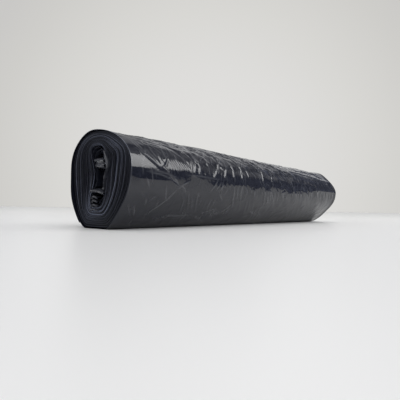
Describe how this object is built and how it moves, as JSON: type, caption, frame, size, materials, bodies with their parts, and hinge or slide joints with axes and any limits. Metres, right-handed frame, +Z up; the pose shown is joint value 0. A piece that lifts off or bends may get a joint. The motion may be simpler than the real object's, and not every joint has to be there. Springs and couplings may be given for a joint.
{
  "type": "bin bag roll",
  "caption": "Coreless roll of black plastic bin bags, wound from one folded film, with a collapsed hollow through its middle and wrinkles in the glossy outer bag.",
  "frame": {"origin": "on the floor under the middle of the roll", "axes": "+Z up, +X along the roll's axis, away from the end whose hollow the picture shows, +Y away from the side that the picture shows"},
  "size_m": [0.375, 0.0746, 0.0731],
  "materials": {
    "film": "thin glossy black polyethylene film, wrinkled"
  },
  "bodies": {
    "root": {"bag_roll": "film"}
  },
  "joints": []
}
